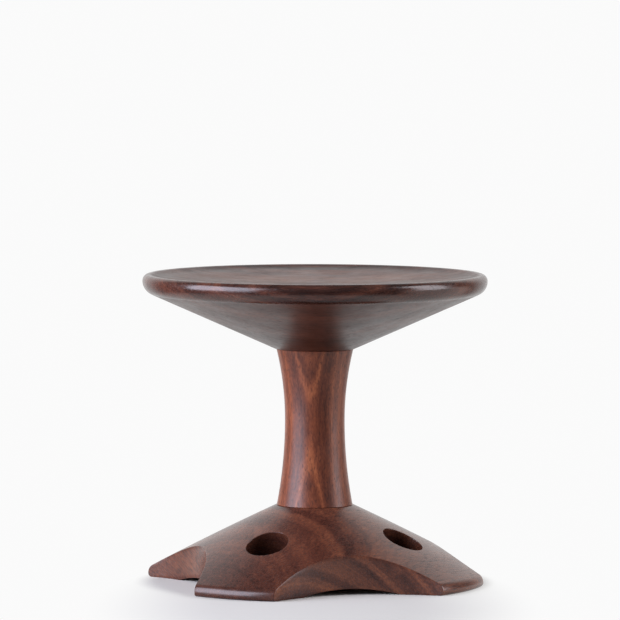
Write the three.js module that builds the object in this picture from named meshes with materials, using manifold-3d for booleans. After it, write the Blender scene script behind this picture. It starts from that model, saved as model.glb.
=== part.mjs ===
// A low pedestal stool of dark hardwood: a dished round seat, a waisted post and a round base
// that is scalloped into four feet. Millimetres, +Z up, origin on the floor under the post's axis.
// The feet point along +X, -X, +Y and -Y.

import * as THREE from "three";
import { mergeVertices } from "three/addons/utils/BufferGeometryUtils.js";
import Module from "manifold-3d";

// Heights of the stack, from the floor up
const baseHeight = 90;
const columnLength = 181.5; // from the shoulder on the base to the shoulder under the seat
const seatThickness = 86.5; // from the land under the seat to the crest of its rim

// Seat
const seatDiameter = 399.5;
const rimCrestInset = 7; // the crest ring lies this far inside the widest ring
const rimCrestRise = 7.8; // and this far above it
const rimUnderRadius = 16; // roll from the widest ring into the cone below
const dishDepth = 18;
const rimInnerRadius = 10; // roll from the crest down into the dish
const rimInnerSlope = THREE.MathUtils.degToRad(25); // steepest slope inside the rim
const dishCoveRadius = 45; // cove between that slope and the shallow bowl

// Column
const columnHeadDiameter = 89.2;
const columnFootDiameter = 88;
const columnWaistDiameter = 69.2;
const waistHeight = 99; // above the foot shoulder
const landOverhang = 1.2; // seat and base have a flat land this much wider than the column's end

// Round tenons, glued into the seat and the base and spread by wedges
const tenonDiameter = 32;
const seatTenonLength = 42;
const glueRoom = 2; // left over the end of the seat's tenon
const fitGap = 0.3; // glue line between a tenon, its mortise and its wedge

// Wedges
const wedgeLength = 26;
const wedgeThickEnd = 4.5;
const wedgeThinEnd = 1.4;
const kerfSpare = 3; // the saw cut runs this far past the wedge's thin end

// Base
const baseDiameter = 400;
const baseRimRadius = 10.5; // upper roll, from the rim into the sloping top
const baseRimLand = 0.5; // upright part of the rim between its two rolls
const baseCrownRadius = 3200; // the sloping top is nearly straight
const soleEdgeRadius = 4.5; // lower roll, from the rim under to the sole
const soleWidth = 41.5; // from the rim inwards, with the lower roll
const hollowDepth = 22; // turned hollow under the base
const hollowFlatDiameter = 60; // flat middle of that hollow

// Feet
const footCount = 4;
const footWidth = 103; // between a foot's two corners at the rim
const scallopRadius = 155.4;
const footHoleDiameter = 49.5;
const footHoleInset = 84.7; // from the rim to where the hole's axis meets the sloping top

// Fineness of the facets
const turnedSegments = 72;
const holeSegments = 48;
const scallopSegments = 120;
const arcStep = THREE.MathUtils.degToRad(12);
const crownSteps = 4;
const soleEdgeSteps = 4;
const hollowSteps = 6;
const bowlSteps = 5;
const waistSteps = 7;
const cutMargin = 10; // cutters run this far past what they cut

// Sizes that follow
const seatRadius = seatDiameter / 2;
const baseRadius = baseDiameter / 2;
const headRadius = columnHeadDiameter / 2;
const footRadius = columnFootDiameter / 2;
const waistRadius = columnWaistDiameter / 2;
const tenonRadius = tenonDiameter / 2;
const mortiseRadius = tenonRadius + fitGap;
const baseTenonLength = baseHeight - hollowDepth;
const wedgeWidth = 2 * Math.sqrt(tenonRadius ** 2 - (wedgeThickEnd / 2) ** 2);
const footTurn = (2 * Math.PI) / footCount;

const wasm = await Module();
wasm.setup();

// A point of a profile: its distance from the axis and its height.
function at(radius, height) {
  return new THREE.Vector2(radius, height);
}

// Points along part of an ellipse, both ends included. Angles start at +X and turn anticlockwise.
function round(centre, radiusAcross, radiusUp, from, to, steps) {
  const count = steps ?? Math.max(2, Math.ceil(Math.abs(to - from) / arcStep));
  const points = [];
  for (let i = 0; i <= count; i += 1) {
    const angle = from + ((to - from) * i) / count;
    points.push(at(centre.x + radiusAcross * Math.cos(angle), centre.y + radiusUp * Math.sin(angle)));
  }
  return points;
}

// Joins corners that lie together and drops the triangles that a pole or a seam makes flat.
function welded(geometry) {
  const bare = geometry.clone();
  bare.deleteAttribute("normal");
  bare.deleteAttribute("uv");
  const merged = mergeVertices(bare, 1e-4);
  const corners = merged.index.array;
  const kept = [];
  for (let i = 0; i < corners.length; i += 3) {
    const [a, b, c] = [corners[i], corners[i + 1], corners[i + 2]];
    if (a !== b && b !== c && c !== a) {
      kept.push(a, b, c);
    }
  }
  merged.setIndex(kept);
  return merged;
}

// Turns a profile round the Z axis. The profile runs anticlockwise: out at the bottom, then up.
function turned(profile, segments) {
  const lathe = new THREE.LatheGeometry(profile, segments);
  lathe.rotateX(Math.PI / 2);
  return welded(lathe);
}

// An upright cylinder between two heights, with its axis at (x, y).
function uprightCylinder(radius, low, high, x, y, segments) {
  const cylinder = new THREE.CylinderGeometry(radius, radius, high - low, segments);
  cylinder.rotateX(Math.PI / 2);
  cylinder.translate(x, y, (low + high) / 2);
  return welded(cylinder);
}

// A block that thickens evenly along Z, centred on the XZ and YZ planes.
function taperedBlock(low, thicknessLow, high, thicknessHigh, width) {
  const outline = new THREE.Shape([
    at(-thicknessLow / 2, low),
    at(thicknessLow / 2, low),
    at(thicknessHigh / 2, high),
    at(-thicknessHigh / 2, high),
  ]);
  const block = new THREE.ExtrudeGeometry(outline, { depth: width, bevelEnabled: false });
  block.rotateX(Math.PI / 2);
  block.translate(0, width / 2, 0);
  return welded(block);
}

// A closed geometry as a solid that can be cut.
function solidOf(geometry) {
  return new wasm.Manifold(
    new wasm.Mesh({
      numProp: 3,
      vertProperties: new Float32Array(geometry.attributes.position.array),
      triVerts: new Uint32Array(geometry.index.array),
    }),
  );
}

// A cut solid as a geometry again.
function geometryOf(solid) {
  const mesh = solid.getMesh();
  const geometry = new THREE.BufferGeometry();
  geometry.setAttribute("position", new THREE.BufferAttribute(mesh.vertProperties, 3));
  geometry.setIndex(new THREE.BufferAttribute(mesh.triVerts, 1));
  return geometry;
}

// Where a straight line from a point below touches a circle's lower right side:
// the angle on the circle, measured from +X.
function tangentAngle(point, centre, radius) {
  const away = Math.hypot(point.x - centre.x, point.y - centre.y);
  const towards = Math.atan2(point.y - centre.y, point.x - centre.x);
  return towards + Math.acos(radius / away);
}

// Centre of the circle of the given radius that passes through a point and holds a smaller circle
// inside it, touching it. Of the two centres, the one nearer the floor and the axis.
function crownCentre(point, crownRadius, inner, innerRadius) {
  const reach = crownRadius - innerRadius;
  const span = Math.hypot(inner.x - point.x, inner.y - point.y);
  const along = (crownRadius ** 2 - reach ** 2 + span ** 2) / (2 * span);
  const aside = Math.sqrt(crownRadius ** 2 - along ** 2);
  const ux = (inner.x - point.x) / span;
  const uy = (inner.y - point.y) / span;
  return at(point.x + along * ux + aside * uy, point.y + along * uy - aside * ux);
}

// Radius of a bowl that is centred on the axis, has its lowest point at a height and holds a cove
// inside it, touching it.
function bowlHolding(low, cove, coveRadius) {
  const drop = low - cove.y;
  return (coveRadius ** 2 - cove.x ** 2 - drop ** 2) / (2 * (drop + coveRadius));
}

// The seat, from the land on the column's head: a cone up to the rolled rim, then the dish.
function buildSeat() {
  const landRadius = headRadius + landOverhang;
  const mortiseDepth = seatTenonLength + glueRoom;
  const widest = at(seatRadius - rimUnderRadius, seatThickness - rimCrestRise);
  const coneEnd = tangentAngle(at(landRadius, 0), widest, rimUnderRadius);
  const crestRadius = seatRadius - rimCrestInset;
  const innerSlope = Math.PI / 2 + rimInnerSlope;
  const roll = at(crestRadius, seatThickness - rimInnerRadius);
  const coveReach = rimInnerRadius + dishCoveRadius;
  const cove = at(
    roll.x + coveReach * Math.cos(innerSlope),
    roll.y + coveReach * Math.sin(innerSlope),
  );
  const bowlLow = seatThickness - dishDepth;
  const bowlRadius = bowlHolding(bowlLow, cove, dishCoveRadius);
  const bowl = at(0, bowlLow + bowlRadius);
  const bowlEdge = Math.asin(cove.x / (bowlRadius - dishCoveRadius)) - Math.PI / 2;
  const coveStart = rimInnerSlope - Math.PI / 2;
  const profile = [
    at(0, mortiseDepth),
    at(mortiseRadius, mortiseDepth),
    at(mortiseRadius, 0),
    at(landRadius, 0),
    ...round(widest, rimUnderRadius, rimUnderRadius, coneEnd, 0),
    ...round(at(crestRadius, widest.y), rimCrestInset, rimCrestRise, 0, Math.PI / 2).slice(1),
    ...round(roll, rimInnerRadius, rimInnerRadius, Math.PI / 2, innerSlope).slice(1),
    ...round(cove, dishCoveRadius, dishCoveRadius, coveStart, bowlEdge).slice(1),
    ...round(bowl, bowlRadius, bowlRadius, bowlEdge, -Math.PI / 2, bowlSteps).slice(1),
  ];
  profile[profile.length - 1].x = 0;
  return turned(profile, turnedSegments);
}

// Radius of the arc that stands upright at the waist and reaches a wider end.
function waistArcRadius(endRadius, rise) {
  const spread = endRadius - waistRadius;
  return (rise ** 2 + spread ** 2) / (2 * spread);
}

// The saw cut and the wedge share one taper. Heights are measured from the wedge's thin end,
// towards its thick end, and the cut is wider all round by the glue line.
function wedgeThicknessAt(height) {
  return wedgeThinEnd + ((wedgeThickEnd - wedgeThinEnd) * height) / wedgeLength;
}

function kerf() {
  const low = -kerfSpare;
  const high = wedgeLength + cutMargin;
  const width = tenonDiameter + cutMargin;
  const gaps = 2 * fitGap;
  return taperedBlock(low, wedgeThicknessAt(low) + gaps, high, wedgeThicknessAt(high) + gaps, width);
}

// The column, from its foot shoulder: two arcs meet at the waist, with a round tenon at each end.
function buildColumn() {
  const upperRise = columnLength - waistHeight;
  const lowerArc = waistArcRadius(footRadius, waistHeight);
  const upperArc = waistArcRadius(headRadius, upperRise);
  const lowerAngle = Math.asin(waistHeight / lowerArc);
  const upperAngle = Math.asin(upperRise / upperArc);
  const lowerCentre = at(waistRadius + lowerArc, waistHeight);
  const upperCentre = at(waistRadius + upperArc, waistHeight);
  const profile = [
    at(0, -baseTenonLength),
    at(tenonRadius, -baseTenonLength),
    at(tenonRadius, 0),
    ...round(lowerCentre, -lowerArc, -lowerArc, lowerAngle, 0, waistSteps),
    ...round(upperCentre, -upperArc, -upperArc, 0, -upperAngle, waistSteps).slice(1),
    at(tenonRadius, columnLength),
    at(tenonRadius, columnLength + seatTenonLength),
    at(0, columnLength + seatTenonLength),
  ];
  const upperKerf = kerf();
  upperKerf.translate(0, 0, seatWedgeFoot() - baseHeight);
  const lowerKerf = kerf();
  lowerKerf.rotateX(Math.PI);
  lowerKerf.translate(0, 0, baseWedgeHead() - baseHeight);
  const post = solidOf(turned(profile, turnedSegments));
  return geometryOf(post.subtract(solidOf(upperKerf)).subtract(solidOf(lowerKerf)));
}

// Height of the seat wedge's thin end. Its thick end bears on the bottom of the blind mortise.
function seatWedgeFoot() {
  return baseHeight + columnLength + seatTenonLength + glueRoom - fitGap - wedgeLength;
}

// Height of the base wedge's thin end. Its thick end is flush with the middle of the hollow.
function baseWedgeHead() {
  return hollowDepth + wedgeLength;
}

function buildWedge() {
  return taperedBlock(0, wedgeThinEnd, wedgeLength, wedgeThickEnd, wedgeWidth);
}

// The upper roll of the base's rim, and the arc of its sloping top, which touches that roll.
function baseRoll() {
  return at(baseRadius - baseRimRadius, soleEdgeRadius + baseRimLand);
}

function baseCrown() {
  const landEdge = at(footRadius + landOverhang, baseHeight);
  return crownCentre(landEdge, baseCrownRadius, baseRoll(), baseRimRadius);
}

// Profile of the base before its feet are cut: hollow underside, sole, rolled rim, sloping top.
function baseProfile() {
  const landRadius = footRadius + landOverhang;
  const soleInner = baseRadius - soleWidth;
  const hollowFlat = hollowFlatDiameter / 2;
  const hollowSpan = soleInner - hollowFlat;
  const hollowArc = (hollowSpan ** 2 + hollowDepth ** 2) / (2 * hollowDepth);
  const hollowCentre = at(hollowFlat, hollowDepth - hollowArc);
  const hollowEnd = Math.acos(hollowSpan / hollowArc);
  const roll = baseRoll();
  const crown = baseCrown();
  const rollEnd = Math.atan2(roll.y - crown.y, roll.x - crown.x);
  const crownEnd = Math.atan2(baseHeight - crown.y, landRadius - crown.x);
  const soleEdge = at(baseRadius - soleEdgeRadius, soleEdgeRadius);
  return [
    at(mortiseRadius, hollowDepth),
    ...round(hollowCentre, hollowArc, hollowArc, Math.PI / 2, hollowEnd, hollowSteps),
    ...round(soleEdge, soleEdgeRadius, soleEdgeRadius, -Math.PI / 2, 0, soleEdgeSteps),
    ...round(roll, baseRimRadius, baseRimRadius, 0, rollEnd),
    ...round(crown, baseCrownRadius, baseCrownRadius, rollEnd, crownEnd, crownSteps).slice(1),
    at(mortiseRadius, baseHeight),
    at(mortiseRadius, hollowDepth),
  ];
}

// The base: four scallops leave four feet. A round hole, bored square to the sloping top, goes
// through each foot.
function buildBase() {
  let base = solidOf(turned(baseProfile(), turnedSegments));
  const low = -cutMargin;
  const high = baseHeight + cutMargin;
  const cornerAngle = footTurn / 2 - Math.asin(footWidth / 2 / baseRadius);
  const cornerAside = baseRadius * Math.sin(cornerAngle);
  const cornerOut = baseRadius * Math.cos(cornerAngle);
  const scallopOut = cornerOut + Math.sqrt(scallopRadius ** 2 - cornerAside ** 2);
  const holeOut = baseRadius - footHoleInset;
  const crown = baseCrown();
  const holeLean = Math.asin((holeOut - crown.x) / baseCrownRadius);
  const holeHeight = crown.y + baseCrownRadius * Math.cos(holeLean);
  for (let foot = 0; foot < footCount; foot += 1) {
    const footAngle = foot * footTurn;
    const gapAngle = footAngle + footTurn / 2;
    const scallop = uprightCylinder(
      scallopRadius,
      low,
      high,
      scallopOut * Math.cos(gapAngle),
      scallopOut * Math.sin(gapAngle),
      scallopSegments,
    );
    const hole = uprightCylinder(footHoleDiameter / 2, -high, cutMargin, 0, 0, holeSegments);
    hole.rotateY(holeLean);
    hole.translate(holeOut, 0, holeHeight);
    hole.rotateZ(footAngle);
    base = base.subtract(solidOf(scallop)).subtract(solidOf(hole));
  }
  return geometryOf(base);
}

// A named piece with the colour of its timber.
function piece(name, geometry, color, roughness) {
  const material = new THREE.MeshStandardMaterial({ color, roughness, metalness: 0, flatShading: true });
  const mesh = new THREE.Mesh(geometry, material);
  mesh.name = name;
  return mesh;
}

const stool = new THREE.Group();

stool.add(piece("base", buildBase(), 0x5f3b2e, 0.34));

const column = piece("column", buildColumn(), 0x7a4630, 0.34);
column.position.z = baseHeight;
stool.add(column);

const seat = piece("seat", buildSeat(), 0x573931, 0.32);
seat.position.z = baseHeight + columnLength;
stool.add(seat);

const seatWedge = piece("seat_tenon_wedge", buildWedge(), 0x3d2720, 0.6);
seatWedge.position.z = seatWedgeFoot();
stool.add(seatWedge);

const baseWedge = piece("base_tenon_wedge", buildWedge(), 0x3d2720, 0.6);
baseWedge.position.z = baseWedgeHead();
baseWedge.rotation.x = Math.PI;
stool.add(baseWedge);

export default stool;
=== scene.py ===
"""A low pedestal stool of dark hardwood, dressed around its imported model.

The seat and the column are turned from a profile, and the base is one foot repeated round the axis.
Each is finished as oiled timber whose growth rings and fibres run through the solid piece.
Metres, +Z up, origin on the floor under the column's axis; the feet point along +X, -X, +Y and -Y.
"""

import logging
import math
from dataclasses import dataclass, field
from enum import Enum
from typing import Any, Callable, Iterable, Sequence

import bmesh
import bpy
from mathutils import Matrix, Vector


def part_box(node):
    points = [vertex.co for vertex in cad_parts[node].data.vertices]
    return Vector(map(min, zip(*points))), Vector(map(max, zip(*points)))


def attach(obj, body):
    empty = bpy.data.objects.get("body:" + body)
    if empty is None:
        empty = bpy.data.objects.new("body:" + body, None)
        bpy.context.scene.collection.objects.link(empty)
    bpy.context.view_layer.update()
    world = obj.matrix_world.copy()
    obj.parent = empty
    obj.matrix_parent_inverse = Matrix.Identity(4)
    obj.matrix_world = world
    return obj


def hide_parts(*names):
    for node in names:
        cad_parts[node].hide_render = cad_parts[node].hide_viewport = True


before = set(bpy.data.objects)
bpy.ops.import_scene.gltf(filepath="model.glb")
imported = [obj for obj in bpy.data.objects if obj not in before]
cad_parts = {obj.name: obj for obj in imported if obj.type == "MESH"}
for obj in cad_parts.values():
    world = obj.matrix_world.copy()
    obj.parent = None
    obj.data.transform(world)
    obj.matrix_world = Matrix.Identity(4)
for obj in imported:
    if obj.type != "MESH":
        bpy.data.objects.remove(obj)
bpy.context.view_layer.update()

log = logging.getLogger("stool")

MM = 0.001
MERGE_DISTANCE = 0.015 * MM
QUARTER_TURN = math.pi / 2
CAMERA_TURN = math.radians(28.1)
STUDIO_WHITE = 0.96
NEARLY_NOTHING = 0.01
HAIR = 1e-9

Point = tuple[float, float]
Triple = tuple[float, float, float]
Colour = tuple[float, float, float, float]
Stops = Sequence[tuple[float, Colour]]
Socket = bpy.types.NodeSocket


def srgb(red: int, green: int, blue: int) -> Colour:
    """A screen colour as a linear one.

    Args:
        red: Red, from 0 to 255.
        green: Green, from 0 to 255.
        blue: Blue, from 0 to 255.

    Returns:
        The linear colour, opaque.
    """
    def linear(channel: int) -> float:
        """One channel, without its screen curve."""
        share = channel / 255
        return share / 12.92 if share <= 0.04045 else ((share + 0.055) / 1.055) ** 2.4

    return (linear(red), linear(green), linear(blue), 1.0)


def tones(*colours: tuple[int, int, int]) -> Stops:
    """Screen colours, from dark to light, as evenly spaced stops."""
    return tuple((step / (len(colours) - 1), srgb(*colour)) for step, colour in enumerate(colours))


def even(first: float, last: float, count: int) -> list[float]:
    """Numbers in a count of even steps, from the first to the last, both included."""
    return [first + (last - first) * step / count for step in range(count + 1)]


class Value:
    """A socket that carries a number. Python's operators on it add Math nodes."""

    def __init__(self, bench: "Bench", socket: Socket) -> None:
        """Keeps the bench that the nodes are added to, and the socket."""
        self.bench = bench
        self.socket = socket

    def _math(self, operation: str, *operands: "Value | float") -> "Value":
        """A Math node on these operands, in their order."""
        node = self.bench.add("ShaderNodeMath", dict(enumerate(operands)), operation=operation)
        return Value(self.bench, node.outputs[0])

    def __add__(self, other: "Value | float") -> "Value":
        """self + other."""
        return self._math("ADD", self, other)

    __radd__ = __add__

    def __sub__(self, other: "Value | float") -> "Value":
        """self - other."""
        return self._math("SUBTRACT", self, other)

    def __rsub__(self, other: float) -> "Value":
        """other - self."""
        return self._math("SUBTRACT", other, self)

    def __mul__(self, other: "Value | float") -> "Value":
        """self * other."""
        return self._math("MULTIPLY", self, other)

    __rmul__ = __mul__

    def __truediv__(self, other: "Value | float") -> "Value":
        """self / other."""
        return self._math("DIVIDE", self, other)

    def __rtruediv__(self, other: float) -> "Value":
        """other / self."""
        return self._math("DIVIDE", other, self)

    def __pow__(self, power: float) -> "Value":
        """self ** power."""
        return self._math("POWER", self, power)

    def sine(self) -> "Value":
        """Sine of an angle in radians."""
        return self._math("SINE", self)

    def cosine(self) -> "Value":
        """Cosine of an angle in radians."""
        return self._math("COSINE", self)

    def nearest(self) -> "Value":
        """The nearest whole number."""
        return self._math("ROUND", self)

    def at_least(self, other: "Value | float") -> "Value":
        """The greater of the two."""
        return self._math("MAXIMUM", self, other)

    def at_most(self, other: "Value | float") -> "Value":
        """The smaller of the two."""
        return self._math("MINIMUM", self, other)

    def size(self) -> "Value":
        """The value without its sign."""
        return self._math("ABSOLUTE", self)

    def hypot(self, other: "Value") -> "Value":
        """How far off a place is that lies this far one way and that far the other."""
        return (self * self + other * other) ** 0.5

    def rising(self, start: float, end: float) -> "Value":
        """A smooth step.

        Args:
            start: Up to where it is 0.
            end: From where it is 1.

        Returns:
            The step.
        """
        sockets = {"Value": self, "From Min": start, "From Max": end}
        node = self.bench.add("ShaderNodeMapRange", sockets, interpolation_type="SMOOTHSTEP")
        return Value(self.bench, node.outputs[0])


class Mixed(Enum):
    """What a Mix node mixes: its data type, and how its sockets' identifiers end."""

    RGBA = "Color"
    VECTOR = "Vector"


class Bench:
    """Adds nodes to one tree, of a material, the world or Geometry Nodes."""

    def __init__(self, tree: bpy.types.NodeTree) -> None:
        """Keeps the tree."""
        self.tree = tree

    @classmethod
    def emptied(cls, block: bpy.types.Material | bpy.types.World) -> "Bench":
        """Empties the tree of a material or a world.

        Args:
            block: The material or the world.

        Returns:
            A bench on its tree.
        """
        block.use_nodes = True
        block.node_tree.nodes.clear()
        return cls(block.node_tree)

    def add(
        self, kind: str, sockets: dict[str | int, Any] | None = None, **settings: Any
    ) -> bpy.types.Node:
        """Adds one node.

        Args:
            kind: The node's type.
            sockets: What its inputs get, by identifier, name or number: a Value, a socket, a constant.
            settings: Its own settings, set first. A ramp takes its stops and its blend.

        Returns:
            The node.
        """
        node = self.tree.nodes.new(kind)
        for name, setting in settings.items():
            if name == "stops":
                self._set_stops(node.color_ramp, setting)
            elif name == "blend":
                node.color_ramp.interpolation = setting
            else:
                setattr(node, name, setting)
        for key, given in (sockets or {}).items():
            source = given.socket if isinstance(given, Value) else given
            if isinstance(source, Socket):
                self.tree.links.new(source, self._input(node, key))
            else:
                self._input(node, key).default_value = source
        return node

    @staticmethod
    def _input(node: bpy.types.Node, key: str | int) -> Socket:
        """The input with this identifier, or else with this name or number."""
        found = [socket for socket in node.inputs if socket.identifier == key]
        return found[0] if found else node.inputs[key]

    @staticmethod
    def _set_stops(ramp: bpy.types.ColorRamp, stops: Stops) -> None:
        """Gives a ramp its stops.

        Args:
            ramp: The ramp.
            stops: Places and colours, in order.
        """
        while len(ramp.elements) < len(stops):
            ramp.elements.new(1.0)
        for element, (place, colour) in zip(ramp.elements, stops):
            element.position = place
            element.color = colour

    def value(self, socket: Socket) -> Value:
        """Wraps a socket that carries a number."""
        return Value(self, socket)

    def parts(self, vector: Socket) -> list[Value]:
        """The three parts of a vector."""
        return [self.value(part) for part in self.add("ShaderNodeSeparateXYZ", {0: vector}).outputs]

    def vector(self, x: Value | float, y: Value | float, z: Value | float) -> Socket:
        """A vector of three numbers."""
        return self.add("ShaderNodeCombineXYZ", {0: x, 1: y, 2: z}).outputs[0]

    def own_place(self) -> Socket:
        """The place in the piece's own frame."""
        return self.add("ShaderNodeTexCoord").outputs["Object"]

    def mapped(self, vector: Socket, kind: str, **sockets: Triple) -> Socket:
        """A place moved, turned and scaled by a Mapping node of this kind."""
        return self.add("ShaderNodeMapping", {"Vector": vector, **sockets}, vector_type=kind).outputs[0]

    def noise(self, place: Socket | Value, scale: float, detail: float) -> Value:
        """Soft noise about 0.5.

        Args:
            place: Where it is read: a vector gives 3D noise, a number 1D noise.
            scale: Marks to a unit of length.
            detail: How many finer layers it has.

        Returns:
            The noise.
        """
        on_line = isinstance(place, Value)
        sockets = {"W" if on_line else "Vector": place, "Scale": scale, "Detail": detail}
        node = self.add("ShaderNodeTexNoise", sockets, noise_dimensions="1D" if on_line else "3D")
        return self.value(node.outputs[0])

    def mixed(self, kind: Mixed, share: Value, first: Any, second: Any) -> Socket:
        """Mixes two colours or two places.

        Args:
            kind: Which of the two it mixes.
            share: 0 for the first, 1 for the second.
            first: The first.
            second: The second.

        Returns:
            The mixture.
        """
        sockets = {"Factor_Float": share, f"A_{kind.value}": first, f"B_{kind.value}": second}
        node = self.add("ShaderNodeMix", sockets, data_type=kind.name)
        return next(socket for socket in node.outputs if socket.identifier == f"Result_{kind.value}")

    def ramp(self, place: Value, stops: Stops, blend: str = "LINEAR") -> Socket:
        """The colour of a ramp at a place of 0 to 1."""
        return self.add("ShaderNodeValToRGB", {0: place}, stops=stops, blend=blend).outputs[0]

    def rays(self) -> tuple[Value, Value]:
        """Tells the rays apart.

        Returns:
            1 for a ray that comes from the camera, and 1 for one that was mirrored or let through.
        """
        path = self.add("ShaderNodeLightPath").outputs
        mirrored = self.value(path["Is Glossy Ray"]) + self.value(path["Is Transmission Ray"])
        return self.value(path["Is Camera Ray"]), mirrored


@dataclass(frozen=True)
class Pattern:
    """Soft marks in timber: their size in millimetres, and how far the grain draws them out."""

    size: float
    drawn: float = 1.0
    detail: float = 2.0


@dataclass(frozen=True)
class Growth:
    """How timber grew, in millimetres. Its own Z runs along the grain.

    The pith is a place on the pith line and the lie is how that line is turned, both in the piece's
    frame. A band is a distance from the pith and a tone, from 0, dark, to 1, light.
    """

    pith: Triple
    lie: Triple
    bands: tuple[Point, ...]

    def spot(self, bench: Bench) -> Socket:
        """The place in the timber's own frame, in millimetres from the pith."""
        own, pith = bench.own_place(), tuple(part * MM for part in self.pith)
        return bench.mapped(own, "TEXTURE", Location=pith, Rotation=self.lie, Scale=(MM, MM, MM))

    def tone(self, bench: Bench, rings: Value) -> Value:
        """The broad light and dark bands.

        Args:
            bench: Where the nodes go.
            rings: Distance from the pith.

        Returns:
            A tone of 0 to 1.
        """
        near, far = self.bands[0][0], self.bands[-1][0]
        stops = [((reach - near) / (far - near), (tone, tone, tone, 1.0)) for reach, tone in self.bands]
        return bench.value(bench.ramp((rings - near) / (far - near), stops, "EASE"))


@dataclass(frozen=True)
class Timber:
    """An oiled hardwood, cut through by the piece's own surface.

    A contrast is how far a pattern swings the tone, or for the polish the roughness. The bend and
    the ripple swing the rings, in millimetres.
    """

    name: str
    growth: Growth
    tones: Stops
    roughness: float = 0.26
    shine: float = 0.5
    refraction: float = 1.5
    bend: float = 24.0
    bends: Pattern = Pattern(size=60.0, drawn=1.8)
    ripple: float = 2.4
    ripples: Pattern = Pattern(size=8.0, drawn=5.0)
    ring_contrast: float = 0.7
    years: Pattern = Pattern(size=3.4)
    seasons: Pattern = Pattern(size=1.2, detail=1.0)
    years_share: float = 0.6
    fibre_contrast: float = 0.7
    fibre_draw: float = 6.0
    coarse_fibre: float = 2.2
    fine_fibre: float = 1.4
    coarse_share: float = 0.4
    mottle_contrast: float = 0.7
    mottle: Pattern = Pattern(size=6.0, drawn=4.0)
    blotch_contrast: float = 0.6
    blotch: Pattern = Pattern(size=28.0, drawn=2.5)
    polish_contrast: float = 0.2
    wear: Pattern = Pattern(size=18.0, drawn=2.0, detail=3.0)
    pore_size: float = 1.6
    pore_edge: Point = (0.58, 0.72)
    long_pores: Pattern = Pattern(size=1.6, drawn=8.0, detail=1.0)
    long_pore_edge: Point = (0.60, 0.74)
    long_pore_share: float = 0.8
    # The colour of the open pores, and also of the painted shade on the holes' walls.
    pore_and_hole_shade_dark: Colour = srgb(30, 16, 13)
    pore_depth: float = 0.5
    pore_sink: float = 0.8
    pore_dulling: float = 0.1
    relief: float = 0.14
    relief_height: float = 0.12 * MM
    seed: float = 0.0
    seed_shift: Triple = (1.0, -1.0, 0.7)
    bores: "Bores | None" = None
    scallops: "Scallops | None" = None
    rubbed_and_sheen: "RubbedAndSheen | None" = None

    def material(self) -> bpy.types.Material:
        """Builds the finish.

        Returns:
            A material that reads Object coordinates, so the piece's place is in its mesh.
        """
        material = bpy.data.materials.new(self.name)
        bench = Bench.emptied(material)
        spot, rings, bands = self._grown(bench)
        fibre = self._fibre(bench, spot)
        pores = self._pores(bench, spot)
        tone = bands + self._swing(self._ring_lines(bench, rings), self.ring_contrast)
        tone = tone + self._swing(fibre, self.fibre_contrast)
        tone = tone + self._swing(self._noise(bench, spot, self.mottle), self.mottle_contrast)
        tone = tone + self._swing(self._noise(bench, spot, self.blotch), self.blotch_contrast)
        worn = fibre + self._noise(bench, spot, self.wear) - 1
        rough = self.roughness + worn * self.polish_contrast + pores * self.pore_dulling
        if self.rubbed_and_sheen:
            # Painted sheen: the dish's tone is painted lighter.
            tone = tone + self.rubbed_and_sheen.in_dish(bench) * self.rubbed_and_sheen.dish_painted_sheen
            rough = rough + self.rubbed_and_sheen.dulled(bench)
        colour = bench.mixed(
            Mixed.RGBA, pores * self.pore_depth, bench.ramp(tone, self.tones), self.pore_and_hole_shade_dark
        )
        if self.bores:
            # Painted shade: the walls of the holes are mixed towards the dark pore colour.
            painted_hole_shade = self.bores.inside(bench) * self.bores.painted_shade
            colour = bench.mixed(Mixed.RGBA, painted_hole_shade, colour, self.pore_and_hole_shade_dark)
        bump = bench.add("ShaderNodeBump", {
            "Strength": self.relief,
            "Distance": self.relief_height,
            "Height": fibre - pores * self.pore_sink,
        })
        shader = bench.add("ShaderNodeBsdfPrincipled", {
            "Base Color": colour,
            "Roughness": rough,
            "Normal": bump.outputs[0],
            "IOR": self.refraction,
            "Specular IOR Level": self.shine,
        })
        bench.add("ShaderNodeOutputMaterial", {"Surface": shader.outputs[0]})
        return material

    def _grown(self, bench: Bench) -> tuple[Socket, Value, Value]:
        """The growth that shows: the timber's own, and another layer's on the walls of scallops.

        Args:
            bench: Where the nodes go.

        Returns:
            The place in the timber's frame, the bent distance from the pith, and the bands' tone.
        """
        spot = self.growth.spot(bench)
        if not self.scallops:
            rings = self._rings(bench, spot)
            return spot, rings, self.growth.tone(bench, rings)
        cut = self.scallops.inside(bench)
        spot = bench.mixed(Mixed.VECTOR, cut, spot, self.scallops.growth.spot(bench))
        rings = self._rings(bench, spot)
        tone = self.growth.tone(bench, rings)
        return spot, rings, tone + (self.scallops.growth.tone(bench, rings) - tone) * cut

    @staticmethod
    def _swing(noise: Value, contrast: float) -> Value:
        """Noise about 0.5 as a change either way."""
        return (noise - 0.5) * contrast

    def _noise(self, bench: Bench, spot: Socket, pattern: Pattern) -> Value:
        """Soft marks about 0.5, drawn out along the grain.

        Args:
            bench: Where the nodes go.
            spot: The place in the timber's own frame.
            pattern: The marks.

        Returns:
            The noise.
        """
        shift = tuple(self.seed * part for part in self.seed_shift)
        squeezed = bench.mapped(spot, "POINT", Location=shift, Scale=(1.0, 1.0, 1 / pattern.drawn))
        return bench.noise(squeezed, 1 / pattern.size, pattern.detail)

    def _rings(self, bench: Bench, spot: Socket) -> Value:
        """The growth at a place.

        Args:
            bench: Where the nodes go.
            spot: The place in the timber's own frame.

        Returns:
            Its distance from the pith, bent as a real tree grows.
        """
        across, depth, _ = bench.parts(spot)
        bent = self._swing(self._noise(bench, spot, self.bends), self.bend)
        rippled = self._swing(self._noise(bench, spot, self.ripples), self.ripple)
        return across.hypot(depth) + bent + rippled

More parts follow.
